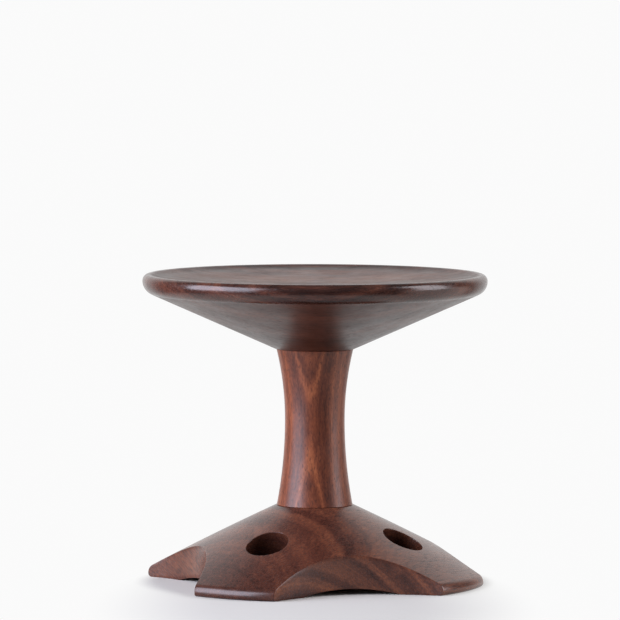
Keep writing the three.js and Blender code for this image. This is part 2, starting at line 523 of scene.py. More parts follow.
    def _ring_lines(self, bench: Bench, rings: Value) -> Value:
        """The fine lines between the bands, uneven as years are.

        Args:
            bench: Where the nodes go.
            rings: Distance from the pith.

        Returns:
            The lines, about 0.5.
        """
        years = bench.noise(rings + self.seed, 1 / self.years.size, self.years.detail)
        seasons = bench.noise(rings + self.seed * 2, 1 / self.seasons.size, self.seasons.detail)
        return years * self.years_share + seasons * (1 - self.years_share)

    def _fibre(self, bench: Bench, spot: Socket) -> Value:
        """Fine streaks along the grain.

        Args:
            bench: Where the nodes go.
            spot: The place in the timber's own frame.

        Returns:
            The streaks, about 0.5.
        """
        coarse = self._noise(bench, spot, Pattern(self.coarse_fibre, self.fibre_draw * 2))
        fine = self._noise(bench, spot, Pattern(self.fine_fibre, self.fibre_draw, detail=1.0))
        return coarse * self.coarse_share + fine * (1 - self.coarse_share)

    def _pores(self, bench: Bench, spot: Socket) -> Value:
        """Open pores: short and long dark strokes along the grain.

        Args:
            bench: Where the nodes go.
            spot: The place in the timber's own frame.

        Returns:
            1 inside a pore, 0 outside.
        """
        short = self._noise(bench, spot, Pattern(self.pore_size, self.fibre_draw, detail=1.0))
        long = self._noise(bench, spot, self.long_pores).rising(*self.long_pore_edge)
        return 1 - (1 - short.rising(*self.pore_edge)) * (1 - long * self.long_pore_share)


@dataclass(frozen=True)
class Bores:
    """Round holes through the feet, one on each side of the two horizontal axes, in metres.

    Each axis leans out from upright and crosses the sloping top at a distance and a height. The walls
    are painted darker than the faces round them, as painted shade inside the holes.
    """

    out: float
    height: float
    lean: float
    radius: float
    # How far the holes' walls are painted darker, as painted shade.
    painted_shade: float = 0.45
    fade: Point = (0.08 * MM, 0.8 * MM)

    def inside(self, bench: Bench) -> Value:
        """Finds the walls of the holes.

        Args:
            bench: Where the nodes go.

        Returns:
            1 on the wall of a hole, 0 on the faces round it.
        """
        across, depth, up = bench.parts(bench.own_place())
        along = across.size().at_least(depth.size()) - self.out
        lying = along * math.cos(self.lean) - (up - self.height) * math.sin(self.lean)
        away = lying.hypot(across.size().at_most(depth.size()))
        return 1 - away.rising(*(self.radius + past for past in self.fade))


@dataclass(frozen=True)
class Scallops:
    """Round scallops on the diagonals, in metres. Their walls cut through another layer of growth."""

    out: float
    radius: float
    growth: Growth
    fade: Point = (0.1 * MM, 0.4 * MM)

    def inside(self, bench: Bench) -> Value:
        """Finds the walls of the scallops.

        Args:
            bench: Where the nodes go.

        Returns:
            1 on a scallop's wall, 0 on the faces round it.
        """
        across, depth, _ = bench.parts(bench.own_place())
        centre = self.out * math.sqrt(0.5)
        away = (across.size() - centre).hypot(depth.size() - centre)
        return 1 - away.rising(*(self.radius + past for past in self.fade))


@dataclass(frozen=True)
class RubbedAndSheen:
    """A rim that hands keep polished, in metres; the dish inside it and the cone below are duller, and
    the dish's tone is painted paler as a painted sheen.
    """

    edge: float
    dish_edge: float
    dish_height: float
    dish_dulled: float = 0.18
    # How much lighter the dish's tone is painted, as a painted sheen.
    dish_painted_sheen: float = 0.17
    under_dulled: float = 0.16
    fade: float = 6 * MM
    dish_fade: float = 24 * MM
    dish_rise: float = 2 * MM

    def in_dish(self, bench: Bench) -> Value:
        """Finds the dish.

        Args:
            bench: Where the nodes go.

        Returns:
            1 on the dish's floor, 0 on the rim and below.
        """
        _, _, up = bench.parts(bench.own_place())
        inside = self._within(bench, self.dish_edge, self.dish_fade)
        return inside * up.rising(self.dish_height - self.dish_rise, self.dish_height)

    def dulled(self, bench: Bench) -> Value:
        """What is added to the roughness."""
        extra = self.in_dish(bench) * (self.dish_dulled - self.under_dulled)
        return self._within(bench, self.edge, self.fade) * self.under_dulled + extra

    @staticmethod
    def _within(bench: Bench, edge: float, fade: float) -> Value:
        """1 nearer to the axis than this edge, 0 outside it."""
        across, depth, _ = bench.parts(bench.own_place())
        return 1 - across.hypot(depth).rising(edge - fade, edge)


DARK_TONES = tones((52, 28, 23), (84, 48, 38), (118, 70, 51), (152, 93, 64), (186, 122, 84))
RED_TONES = tones((58, 28, 20), (95, 49, 34), (130, 71, 47), (165, 96, 62), (198, 127, 84))


class Finish(Enum):
    """The timbers that the stool is made of."""

    SEAT = Timber(
        name="seat_timber",
        growth=Growth(
            pith=(0.0, 0.0, 150.0),
            lie=(0.0, QUARTER_TURN, CAMERA_TURN),
            # The bands from 268 to 283.5 mm lie on the rim's roll, at its front and back, and are
            # painted reflections: dark bands where the roll mirrors dark surroundings and shadow, and a
            # light band at 275 to 278 mm where it mirrors the lit floor.
            bands=(
                (130, 0.2), (150, 0.1), (175, 0.26), (200, 0.14), (222, 0.3), (245, 0.12), (262, 0.24),
                (268, 0.06), (272, 0.04), (275, 0.26), (278, 0.22), (281, 0.02), (283.5, 0.1),
                (286, 0.34),
            ),
        ),
        tones=DARK_TONES,
        roughness=0.21,
        shine=0.56,
        bend=2.4,
        ripple=1.2,
        ring_contrast=0.35,
        fibre_contrast=0.6,
        mottle_contrast=0.35,
        blotch_contrast=0.4,
        polish_contrast=0.26,
        relief=0.24,
        seed=11.0,
        rubbed_and_sheen=RubbedAndSheen(edge=193 * MM, dish_edge=182 * MM, dish_height=339 * MM),
    )
    COLUMN = Timber(
        name="column_timber",
        growth=Growth(
            pith=(21.9, -61.7, 0.0),
            lie=(0.0, 0.0, CAMERA_TURN),
            bands=(
                (20, 0.44), (25, 0.4), (27.2, 0.38), (28.6, 0.58), (29.8, 0.6), (30.8, 0.42), (32, 0.34),
                (34, 0.28), (38, 0.3), (42, 0.38), (46.5, 0.58), (50, 0.42), (56, 0.52), (64, 0.44),
                (74, 0.5), (110, 0.48),
            ),
        ),
        tones=RED_TONES,
        roughness=0.36,
        shine=0.42,
        bend=2.0,
        bends=Pattern(size=34.0, drawn=1.8),
        ripple=1.4,
        fibre_contrast=0.66,
        fibre_draw=3.2,
        ring_contrast=0.3,
        mottle_contrast=0.35,
        blotch_contrast=0.3,
        seed=23.0,
    )
    BASE = Timber(
        name="base_timber",
        growth=Growth(
            pith=(-21.8, -3.8, -116.9),
            lie=(math.radians(86.8), 0.0, math.radians(-7.0)),
            bands=(
                (124, 0.17), (132, 0.18), (140, 0.19), (150, 0.24), (155, 0.32), (159, 0.24),
                (163, 0.33), (167, 0.31), (170.5, 0.24), (175, 0.31), (179, 0.41), (184, 0.31),
                (187, 0.26), (192, 0.28), (195, 0.34), (198, 0.45), (200.5, 0.36), (203.5, 0.18),
                (207, 0.34), (211, 0.34), (215, 0.47), (219, 0.42), (225, 0.42), (229, 0.43),
                (235, 0.36), (240, 0.36), (246, 0.41), (262, 0.34), (285, 0.42), (310, 0.34),
            ),
        ),
        tones=DARK_TONES,
        roughness=0.25,
        bend=4.8,
        ring_contrast=0.3,
        fibre_contrast=0.95,
        mottle_contrast=0.25,
        blotch_contrast=0.28,
        polish_contrast=0.08,
        relief=0.07,
        seed=37.0,
        scallops=Scallops(
            out=291.85 * MM,
            radius=155.4 * MM,
            growth=Growth(
                pith=(-116.4, -62.9, -102.3),
                lie=(math.radians(59.6), 0.0, math.radians(-124.8)),
                bands=(
                    (57, 0.3), (100, 0.38), (140, 0.28), (170, 0.34), (177, 0.22), (183, 0.36),
                    (187, 0.24), (193, 0.2), (199, 0.4), (204.5, 0.6), (208.5, 0.42), (212.5, 0.25),
                    (216, 0.27), (221, 0.48), (227, 0.42), (231, 0.42), (237, 0.28), (241.5, 0.2),
                    (246.5, 0.5), (249, 0.46), (253, 0.28), (261, 0.22), (269, 0.28), (274.5, 0.46),
                    (279, 0.2), (284, 0.32), (300, 0.38), (320, 0.28), (345, 0.36),
                ),
            ),
        ),
        bores=Bores(out=115.3 * MM, height=55.65 * MM, lean=math.radians(26.8), radius=24.75 * MM),
    )
    WEDGE = Timber(
        name="wedge_timber",
        growth=Growth(
            pith=(0.0, 40.0, 0.0),
            lie=(0.0, 0.0, 0.0),
            bands=((20, 0.1), (40, 0.2), (60, 0.05)),
        ),
        tones=DARK_TONES,
        roughness=0.5,
        seed=51.0,
    )


def arc(
    centre: Point, across: float, up: float, start: float, end: float, spacing: float
) -> list[Point]:
    """Points on a part of an ellipse, both ends included.

    Args:
        centre: Distance from the axis and height of the centre.
        across: Half width.
        up: Half height.
        start: First angle, in radians from straight out, anticlockwise.
        end: Last angle.
        spacing: About how far the points are apart.

    Returns:
        The points, as distance from the axis and height.
    """
    count = max(2, math.ceil(abs(end - start) * max(abs(across), abs(up)) / spacing))
    angles = even(start, end, count)
    return [(centre[0] + across * math.cos(a), centre[1] + up * math.sin(a)) for a in angles]


def polar(out: float, angle: float) -> Vector:
    """A place in plan, from its distance from the axis and its angle."""
    return Vector((out * math.cos(angle), out * math.sin(angle)))


def linked(name: str, data: bpy.types.ID) -> bpy.types.Object:
    """Puts data into the scene.

    Args:
        name: The object's name.
        data: Its mesh, lamp or camera.

    Returns:
        The object.
    """
    made = bpy.data.objects.new(name, data)
    bpy.context.scene.collection.objects.link(made)
    return made


def mesh_object(
    name: str, points: Iterable[Sequence[float]], faces: Iterable[Sequence[int]] = ()
) -> bpy.types.Object:
    """Puts a mesh into the scene.

    Args:
        name: The name of the object and its mesh.
        points: The mesh's points.
        faces: The numbers of each face's points.

    Returns:
        The object.
    """
    mesh = bpy.data.meshes.new(name)
    mesh.from_pydata(list(points), [], list(faces))
    return linked(name, mesh)


def made_plain(piece: bpy.types.Object) -> bpy.types.Object:
    """Turns an object's evaluated result into its own plain mesh, without modifiers.

    Args:
        piece: The object.

    Returns:
        The same object.
    """
    bpy.context.view_layer.update()
    evaluated = piece.evaluated_get(bpy.context.evaluated_depsgraph_get())
    mesh = bpy.data.meshes.new_from_object(evaluated)
    mesh.name = piece.name
    piece.modifiers.clear()
    piece.data = mesh
    return piece


def tidy_normals(mesh: bpy.types.Mesh) -> None:
    """Joins doubled points and turns every face outwards.

    Args:
        mesh: The mesh that is changed.
    """
    work = bmesh.new()
    work.from_mesh(mesh)
    bmesh.ops.remove_doubles(work, verts=work.verts, dist=MERGE_DISTANCE)
    bmesh.ops.recalc_face_normals(work, faces=work.faces)
    work.to_mesh(mesh)
    work.free()


def present(piece: bpy.types.Object, node: str, sharp: float) -> None:
    """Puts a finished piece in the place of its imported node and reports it.

    Args:
        piece: The piece.
        node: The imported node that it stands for.
        sharp: The angle in degrees past which an edge is drawn sharp.
    """
    piece.data.set_sharp_from_angle(angle=math.radians(sharp))
    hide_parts(node)
    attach(piece, "root")
    log.info("%s: %d faces, stands for %s", piece.name, len(piece.data.polygons), node)


class NodeTool:
    """A Geometry Nodes tree with named inputs, used as a tool on one object at a time."""

    def __init__(self, name: str, inputs: dict[str, str]) -> None:
        """Makes the tree.

        Args:
            name: The tree's name.
            inputs: Name and socket type of each input after the geometry.
        """
        self.tree = bpy.data.node_groups.new(name, "GeometryNodeTree")
        self.bench = Bench(self.tree)
        panel = self.tree.interface
        for way in ("INPUT", "OUTPUT"):
            panel.new_socket("Geometry", in_out=way, socket_type="NodeSocketGeometry")
        self.identifiers = {
            label: panel.new_socket(label, in_out="INPUT", socket_type=kind).identifier
            for label, kind in inputs.items()
        }
        self.given = self.bench.add("NodeGroupInput").outputs

    def end(self, geometry: Socket) -> None:
        """Ends the tree: smooth real faces with the finish.

        Args:
            geometry: What the tree has made.
        """
        smooth = self.bench.add("GeometryNodeSetShadeSmooth", {"Geometry": geometry})
        real = self.bench.add("GeometryNodeRealizeInstances", {"Geometry": smooth.outputs[0]})
        sockets = {"Geometry": real.outputs[0], "Material": self.given["Finish"]}
        dressed = self.bench.add("GeometryNodeSetMaterial", sockets)
        self.bench.add("NodeGroupOutput", {"Geometry": dressed.outputs[0]})

    def apply(self, piece: bpy.types.Object, inputs: dict[str, Any]) -> bpy.types.Object:
        """Runs the tree on an object and leaves a plain mesh in it.

        Args:
            piece: The object that the tree works on.
            inputs: What each named input gets.

        Returns:
            The same object.
        """
        modifier = piece.modifiers.new(self.tree.name, "NODES")
        modifier.node_group = self.tree
        for label, given in inputs.items():
            modifier[self.identifiers[label]] = given
        return made_plain(piece)


class Lathe(NodeTool):
    """Turns an upright profile round the Z axis into a closed mesh."""

    def __init__(self) -> None:
        """Builds the tree."""
        super().__init__("lathe", {"Segments": "NodeSocketInt", "Finish": "NodeSocketMaterial"})
        bench = self.bench
        profile = self.given["Geometry"]
        size = bench.add("GeometryNodeAttributeDomainSize", {"Geometry": profile})
        rows = bench.value(size.outputs["Point Count"])
        grid = bench.add("GeometryNodeMeshGrid", {
            "Size X": 1.0,
            "Size Y": 1.0,
            "Vertices X": bench.value(self.given["Segments"]) + 1,
            "Vertices Y": rows,
        })
        place = bench.add("GeometryNodeInputPosition").outputs[0]
        across, up, _ = bench.parts(place)
        row = ((up + 0.5) * (rows - 1)).nearest()
        sampled = bench.add(
            "GeometryNodeSampleIndex",
            {"Geometry": profile, "Value": place, "Index": row},
            data_type="FLOAT_VECTOR",
            domain="POINT",
        )
        radius, _, height = bench.parts(sampled.outputs[0])
        angle = (across + 0.5) * math.tau
        spun = bench.vector(radius * angle.sine(), 0 - radius * angle.cosine(), height)
        body = bench.add("GeometryNodeSetPosition", {"Geometry": grid.outputs[0], "Position": spun})
        sockets = {"Geometry": body.outputs[0], "Distance": MERGE_DISTANCE}
        self.end(bench.add("GeometryNodeMergeByDistance", sockets).outputs[0])

    def turn(self, name: str, profile: list[Point], segments: int, finish: Finish) -> bpy.types.Object:
        """Turns a profile, drawn from the axis at the bottom out and up to the axis at the top."""
        wire = mesh_object(name, [(radius, 0.0, height) for radius, height in profile])
        return self.apply(wire, {"Segments": segments, "Finish": finish.value.material()})


class Repeat(NodeTool):
    """Repeats a piece evenly round the Z axis."""

    def __init__(self) -> None:
        """Builds the tree."""
        super().__init__("repeat_round", {"Count": "NodeSocketInt", "Finish": "NodeSocketMaterial"})
        bench = self.bench
        count = bench.value(self.given["Count"])
        index = bench.value(bench.add("GeometryNodeInputIndex").outputs[0])
        copies = bench.add("GeometryNodeInstanceOnPoints", {
            "Points": bench.add("GeometryNodePoints", {"Count": count}).outputs[0],
            "Instance": self.given["Geometry"],
            "Rotation": bench.vector(0.0, 0.0, index * math.tau / count),
        })
        self.end(copies.outputs[0])


@dataclass(frozen=True)
class Seat:
    """The dished seat: a cone from the column's head up to a rolled rim, with a shallow bowl inside."""

    lathe: Lathe
    land_radius: float = 45.8 * MM
    land_ease: float = 3.2 * MM
    mortise_radius: float = 16.3 * MM
    mortise_depth: float = 44 * MM
    rim_crest_inset: float = 7 * MM
    rim_crest_rise: float = 7.8 * MM
    rim_under_radius: float = 16 * MM
    rim_inner_radius: float = 10 * MM
    rim_inner_slope: float = math.radians(25)
    cove_radius: float = 45 * MM
    dish_depth: float = 18 * MM
    segments: int = 288

    def build(self) -> None:
        """Turns the seat and dresses it."""
        piece = self.lathe.turn("seat_turned", self.profile(), self.segments, Finish.SEAT)
        present(piece, "seat", sharp=40)

    def profile(self) -> list[Point]:
        """Draws the outline, from the bottom of the blind mortise to the middle of the bowl.

        Returns:
            Points as distance from the axis and height.
        """
        low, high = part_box("seat")
        foot, crest = low.z, high.z
        under, inner, cove = self.rim_under_radius, self.rim_inner_radius, self.cove_radius
        widest = (high.x - under, crest - self.rim_crest_rise)
        crown = (high.x - self.rim_crest_inset, widest[1])
        cone_end = self._cone_end((self.land_radius, foot), widest)
        slope = cone_end + QUARTER_TURN
        ease = self.land_ease * math.tan(slope / 2)
        lean = QUARTER_TURN + self.rim_inner_slope
        roll = (crown[0], crest - inner)
        hollow = (roll[0] + (inner + cove) * math.cos(lean), roll[1] + (inner + cove) * math.sin(lean))
        bowl_low = crest - self.dish_depth
        drop = bowl_low - hollow[1]
        bowl = (cove**2 - hollow[0] ** 2 - drop**2) / (2 * (drop + cove))
        bowl_edge = math.asin(hollow[0] / (bowl - cove)) - QUARTER_TURN
        top = foot + self.mortise_depth
        points = [(0.0, top), (self.mortise_radius, top), (self.mortise_radius, foot)]
        points += [(self.land_radius - ease, foot)]
        points += [(self.land_radius + ease * math.cos(slope), foot + ease * math.sin(slope))]
        points += arc(widest, under, under, cone_end, 0.0, spacing=0.8 * MM)
        points += arc(
            crown, self.rim_crest_inset, self.rim_crest_rise, 0.0, QUARTER_TURN, spacing=0.7 * MM
        )[1:]
        points += arc(roll, inner, inner, QUARTER_TURN, lean, spacing=0.6 * MM)[1:]
        points += arc(hollow, cove, cove, lean - math.pi, bowl_edge, spacing=1.5 * MM)[1:]
        centre = (0.0, bowl_low + bowl)
        points += arc(centre, bowl, bowl, bowl_edge, -QUARTER_TURN, spacing=5 * MM)[1:-1]
        return points + [(0.0, bowl_low)]

    def _cone_end(self, point: Point, centre: Point) -> float:
        """Where a straight line from a point below touches the rim's roll, as an angle on the roll."""
        out, up = point[0] - centre[0], point[1] - centre[1]
        return math.atan2(up, out) + math.acos(self.rim_under_radius / math.hypot(out, up))


@dataclass(frozen=True)
class Column:
    """The waisted column, with a wedged round tenon at each end."""

    lathe: Lathe
    head_radius: float = 44.6 * MM
    foot_radius: float = 44 * MM
    waist_radius: float = 34.6 * MM
    waist_height: float = 99 * MM
    tenon_radius: float = 16 * MM
    edge: float = 0.9 * MM
    edge_across: float = 0.81 * MM
    edge_end: float = math.radians(-15)
    glue_line: float = 0.3 * MM
    kerf_spare: float = 3 * MM
    kerf_overhang: float = 1.3
    segments: int = 176

    def build(self) -> None:
        """Turns the column, saws its tenons and dresses it."""
        piece = self.lathe.turn("column_turned", self.profile(), self.segments, Finish.COLUMN)
        self._saw(piece, "seat_tenon_wedge", -1)
        self._saw(piece, "base_tenon_wedge", 1)
        present(piece, "column", sharp=30)

    def profile(self) -> list[Point]:
        """Draws the outline, from the lower tenon's end to the upper tenon's end.

        Returns:
            Points as distance from the axis and height.
        """
        low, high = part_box("column")
        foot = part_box("base")[1].z
        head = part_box("seat")[0].z
        waist = foot + self.waist_height
        points = [(0.0, low.z), (self.tenon_radius, low.z), (self.tenon_radius, foot)]
        points += self._edge_round(self.foot_radius, foot, 1)
        points += self._flank(self.foot_radius, foot, waist)
        points += reversed(self._flank(self.head_radius, head, waist)[:-1])
        points += reversed(self._edge_round(self.head_radius, head, -1))
        return points + [(self.tenon_radius, head), (self.tenon_radius, high.z), (0.0, high.z)]

    def _flank(self, radius: float, shoulder: float, waist: float) -> list[Point]:
        """Draws the arc from just off a shoulder to the waist, where it stands upright.

        Args:
            radius: Radius at the shoulder.
            shoulder: Height of the shoulder.
            waist: Height of the waist.

        Returns:
            The arc's points.
        """
        rise = waist - shoulder
        spread = radius - self.waist_radius
        sweep = (rise**2 + spread**2) / (2 * spread)
        start = math.copysign(math.asin((abs(rise) - self.edge) / sweep), rise)
        return arc((self.waist_radius + sweep, waist), -sweep, -sweep, start, 0.0, spacing=2.2 * MM)

    def _edge_round(self, radius: float, shoulder: float, up: int) -> list[Point]:
        """The eased edge at a shoulder, from the flat to the flank."""
        centre, lift = (radius - self.edge, shoulder + up * self.edge), self.edge * up
        return arc(centre, self.edge_across, lift, -QUARTER_TURN, self.edge_end, spacing=0.3 * MM)

    def _saw(self, piece: bpy.types.Object, wedge: str, inwards: int) -> None:
        """Cuts the slot that a wedge sits in, wider than the wedge by the glue line.

        Args:
            piece: The column.
            wedge: The wedge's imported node.
            inwards: 1 for a slot that is sawn upwards, -1 for one that is sawn downwards.
        """
        low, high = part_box(wedge)
        thick = high.x + self.glue_line
        thin = min(abs(v.co.x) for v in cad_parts[wedge].data.vertices) + self.glue_line
        mouth, bottom = (low.z, high.z) if inwards > 0 else (high.z, low.z)
        widening = (thick - thin) / (high.z - low.z) * self.kerf_spare
        half_width = self.tenon_radius * self.kerf_overhang
        ends = (
            (bottom + inwards * self.kerf_spare, thin - widening),
            (mouth - inwards * self.kerf_spare, thick + widening),
        )
        corners = [
            (side * half, end * half_width, z)
            for z, half in ends
            for side, end in ((-1, -1), (1, -1), (1, 1), (-1, 1))
        ]
        faces = [(0, 1, 2, 3), (4, 5, 6, 7), (0, 1, 5, 4), (1, 2, 6, 5), (2, 3, 7, 6), (3, 0, 4, 7)]
        cutter = mesh_object("saw_cut", corners, faces)
        tidy_normals(cutter.data)
        cut = piece.modifiers.new("saw_cut", "BOOLEAN")
        cut.operation, cut.solver, cut.object = "DIFFERENCE", "EXACT", cutter
        made_plain(piece)
        bpy.data.objects.remove(cutter)


@dataclass(frozen=True)
class Stretch:
    """A part of a profile that is level, or an arc, as a height over the distance from the axis."""

    reach: float
    level: float = 0.0
    centre: Point | None = None
    radius: float = 0.0
    side: int = 1

    def height(self, out: float) -> float:
        """Reads the profile.

        Args:
            out: Distance from the axis.

        Returns:
            The height there.
        """
        if self.centre is None:
            return self.level
        aside = out - self.centre[0]
        return self.centre[1] + self.side * math.sqrt(max(self.radius**2 - aside**2, 0.0))

    def facing(self, out: float, up: int) -> Point:
        """Finds which way the surface faces.

        Args:
            out: Distance from the axis.
            up: 1 on the upper side, -1 on the under side.

        Returns:
            The direction, out and up.
        """
        if self.centre is None:
            return (0.0, float(up))
        aside = (out - self.centre[0]) / self.radius
        rise = self.side * math.sqrt(max(1 - aside**2, 0.0))
        return (aside, rise) if rise * up > 0 or abs(rise) < HAIR else (-aside, -rise)


@dataclass(frozen=True)
class Sheet:
    """The top of the base (up 1) or its under side (up -1), with the round of its eased edges."""

    up: int
    edge: float
    stretches: tuple[Stretch, ...]

    def _stretch(self, out: float) -> Stretch:
        """The stretch that holds a distance from the axis."""
        return next((s for s in self.stretches if out <= s.reach + HAIR), self.stretches[-1])

    def point(self, place: Vector) -> Vector:
        """The point of the sheet at a place in plan."""
        out = place.length
        return Vector((place.x, place.y, self._stretch(out).height(min(out, self.stretches[-1].reach))))

    def points(self, places: Iterable[Vector]) -> list[Vector]:
        """The points of the sheet at some places in plan."""
        return [self.point(place) for place in places]

    def rolled(self, place: Vector, inward: Vector, turn: float) -> Vector:
        """A point of the sheet, rolled over an edge.

        Args:
            place: The point in plan.
            inward: Direction from the wall into the wood.
            turn: How far round the edge, from 0 on the sheet to a quarter turn on the wall.

        Returns:
            The point in space.
        """
        radial = place.normalized()
        aside, rise = self._stretch(place.length).facing(place.length, self.up)
        normal = Vector((radial.x * aside, radial.y * aside, rise))
        wall = inward.to_3d()
        down = (-normal + wall * normal.dot(wall)).normalized()
        return self.point(place) + down * (self.edge * (1 - math.cos(turn)))


@dataclass
class Base:
    """The round base: four scallops leave four feet, each bored through square to its sloping top.

    One foot is modelled, from seam to seam, and repeated. The fields that end in rows, columns or
    steps are counts of faces.
    """

    repeat: Repeat
    foot_count: int = 4
    land_radius: float = 45.2 * MM
    land_ease: float = 0.4 * MM
    mortise_radius: float = 16.3 * MM
    rim_radius: float = 10.5 * MM
    rim_land: float = 0.5 * MM
    crown_radius: float = 3200 * MM
    sole_edge: float = 4.5 * MM
    sole_width: float = 41.5 * MM
    hollow_depth: float = 22 * MM
    hollow_flat: float = 30 * MM
    foot_width: float = 103 * MM
    scallop_radius: float = 155.4 * MM
    hole_radius: float = 24.75 * MM
    hole_inset: float = 84.7 * MM
    edge: float = 0.5 * MM
    collar: float = 60 * MM
    collar_rings: tuple[float, ...] = (24 * MM, 37 * MM, 42 * MM, 48 * MM, 52 * MM, 56 * MM)
    collar_columns: int = 26
    seam_rows: int = 22
    scallop_columns: int = 44
    rim_columns: int = 34
    rim_crowding: float = 0.35
    rim_rows: int = 18
    ring_rows: int = 26
    ring_crowding: float = 0.4
    ring_strip: float = 0.006
    wall_rows: int = 8
    edge_steps: int = 4
    slides: int = 8
    top: Sheet = field(init=False)
    under: Sheet = field(init=False)
    rim: float = field(init=False)
    rim_outs: list[float] = field(init=False)
    half_turn: float = field(init=False)
    scallop_out: float = field(init=False)
    hole_out: float = field(init=False)
    hole_height: float = field(init=False)
    hole_lean: float = field(init=False)

    def __post_init__(self) -> None:
        """Works out the two sheets and the places of the scallop and the hole."""
        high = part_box("base")[1]
        self.rim = high.x
        roll = (self.rim - self.rim_radius, self.sole_edge + self.rim_land)
        crown = self._crown_centre((self.land_radius, high.z), roll)
        roll_start = math.atan2(roll[1] - crown[1], roll[0] - crown[0])
        self.rim_outs = [
            roll[0] + self.rim_radius * math.cos(angle) for angle in even(roll_start, 0.0, self.rim_rows)
        ]
        self.top = Sheet(1, self.edge, (
            Stretch(self.land_radius, level=high.z),
            Stretch(self.rim_outs[0], centre=crown, radius=self.crown_radius),
            Stretch(self.rim, centre=roll, radius=self.rim_radius),
        ))
        sole_in = self.rim - self.sole_width
        span = sole_in - self.hollow_flat
        hollow = (span**2 + self.hollow_depth**2) / (2 * self.hollow_depth)
        sole_out = self.rim - self.sole_edge
        self.under = Sheet(-1, self.edge, (
            Stretch(self.hollow_flat, level=self.hollow_depth),
            Stretch(sole_in, centre=(self.hollow_flat, self.hollow_depth - hollow), radius=hollow),
            Stretch(sole_out, level=0.0),
            Stretch(self.rim, centre=(sole_out, self.sole_edge), radius=self.sole_edge, side=-1),
        ))
        self.half_turn = math.pi / self.foot_count
        corner = self.half_turn - math.asin(self.foot_width / 2 / self.rim)
        aside, out = self.rim * math.sin(corner), self.rim * math.cos(corner)
        self.scallop_out = out + math.sqrt(self.scallop_radius**2 - aside**2)
        self.hole_out = self.rim - self.hole_inset
        self.hole_lean = math.asin((self.hole_out - crown[0]) / self.crown_radius)
        self.hole_height = crown[1] + self.crown_radius * math.cos(self.hole_lean)

    def _crown_centre(self, point: Point, roll: Point) -> Point:
        """Sets out the sloping top's arc, which meets the land's edge and touches the rim's roll.

        Args:
            point: The land's edge.
            roll: Centre of the rim's roll.

        Returns:
            The arc's centre.
        """
        reach = self.crown_radius - self.rim_radius
        span = math.hypot(roll[0] - point[0], roll[1] - point[1])
        along = (self.crown_radius**2 - reach**2 + span**2) / (2 * span)
        aside = math.sqrt(self.crown_radius**2 - along**2)
        ux, uy = (roll[0] - point[0]) / span, (roll[1] - point[1]) / span
        return (point[0] + along * ux + aside * uy, point[1] + along * uy - aside * ux)

    def build(self) -> None:
        """Models one foot, repeats it and dresses the base."""
        foot = bmesh.new()
        for sheet in (self.top, self.under):
            self._sheet(foot, sheet)
        self._walls(foot)
        bmesh.ops.remove_doubles(foot, verts=foot.verts, dist=MERGE_DISTANCE)
        mesh = bpy.data.meshes.new("base_carved")
        foot.to_mesh(mesh)
        foot.free()
        piece = linked("base_carved", mesh)
        self.repeat.apply(piece, {"Count": self.foot_count, "Finish": Finish.BASE.value.material()})
        tidy_normals(piece.data)
        present(piece, "base", sharp=40)

    def _sheet(self, work: bmesh.types.BMesh, sheet: Sheet) -> None:
        """Adds the top or the under side of the foot, with its eased edges.

        Args:
            work: The foot.
            sheet: Which side.
        """
        turns = self._turns()
        ease = self.land_ease
        rings = {self.mortise_radius, self.hollow_flat, *self.collar_rings, self.collar}
        rings |= {self.land_radius - ease, self.land_radius, self.land_radius + ease}
        self._skin(work, [sheet.points(self._round(out)) for out in sorted(rings)])
        self._skin(work, self._ring_rows(sheet))
        self._skin(work, [self._hole_row(sheet, turn) for turn in turns])
        self._skin(work, [sheet.points(self._across(out)) for out in self.rim_outs])
        for side in (1, -1):
            self._skin(work, [self._scallop_row(sheet, side, turn) for turn in turns])

    def _walls(self, work: bmesh.types.BMesh) -> None:
        """Adds the scallops, the rim's ends, the hole, the rim's upright land and the mortise.

        Args:
            work: The foot.
        """
        for side in (1, -1):
            self._wall(work, lambda sheet: self._scallop_row(sheet, side, QUARTER_TURN))
            self._wall(work, lambda sheet: self._tip_row(sheet, side))
        self._wall(work, lambda sheet: self._hole_row(sheet, QUARTER_TURN))
        self._wall(work, lambda sheet: sheet.points(self._across(self.rim)))
        self._wall(work, lambda sheet: sheet.points(self._round(self.mortise_radius)))

    def _wall(self, work: bmesh.types.BMesh, edge: Callable[[Sheet], list[Vector]]) -> None:
        """Adds a wall between the top and the under side.

        Args:
            work: The foot.
            edge: Gives the wall's edge on a side.
        """
        pairs = list(zip(edge(self.top), edge(self.under)))
        shares = even(0.0, 1.0, self.wall_rows)
        self._skin(work, [[high.lerp(low, share) for high, low in pairs] for share in shares])

    @staticmethod
    def _skin(work: bmesh.types.BMesh, rows: list[list[Vector]]) -> None:
        """Adds faces between rows of points.

        Args:
            work: The foot.
            rows: The rows, each as long as the next.
        """
        made = [[work.verts.new(point) for point in row] for row in rows]
        for first, second in zip(made, made[1:]):
            for i in range(len(first) - 1):
                work.faces.new((first[i], first[i + 1], second[i + 1], second[i]))

    def _turns(self) -> list[float]:
        """The steps round an eased edge."""
        return even(0.0, QUARTER_TURN, self.edge_steps)

    def _round(self, out: float) -> list[Vector]:
        """Places round the column at a distance from the axis, from seam to seam."""
        angles = even(-self.half_turn, self.half_turn, self.collar_columns)
        return [polar(out, angle) for angle in angles]

    def _across(self, out: float) -> list[Vector]:
        """Places across the foot's rim, closer together near its corners.

        Args:
            out: Distance from the axis.

        Returns:
            The places, from one scallop's eased edge to the other's.
        """
        span = self._scallop_angle(out, self.scallop_radius + self.edge)
        crowding = self.rim_crowding
        return [
            polar(out, span * (math.sin(QUARTER_TURN * share) * crowding + share * (1 - crowding)))
            for share in even(-1.0, 1.0, self.rim_columns)
        ]

    def _scallop_angle(self, out: float, radius: float) -> float:
        """Angle from the foot's axis at which a circle round the scallop's centre has this distance."""
        cosine = (out**2 + self.scallop_out**2 - radius**2) / (2 * out * self.scallop_out)
        return self.half_turn - math.acos(max(-1.0, min(1.0, cosine)))

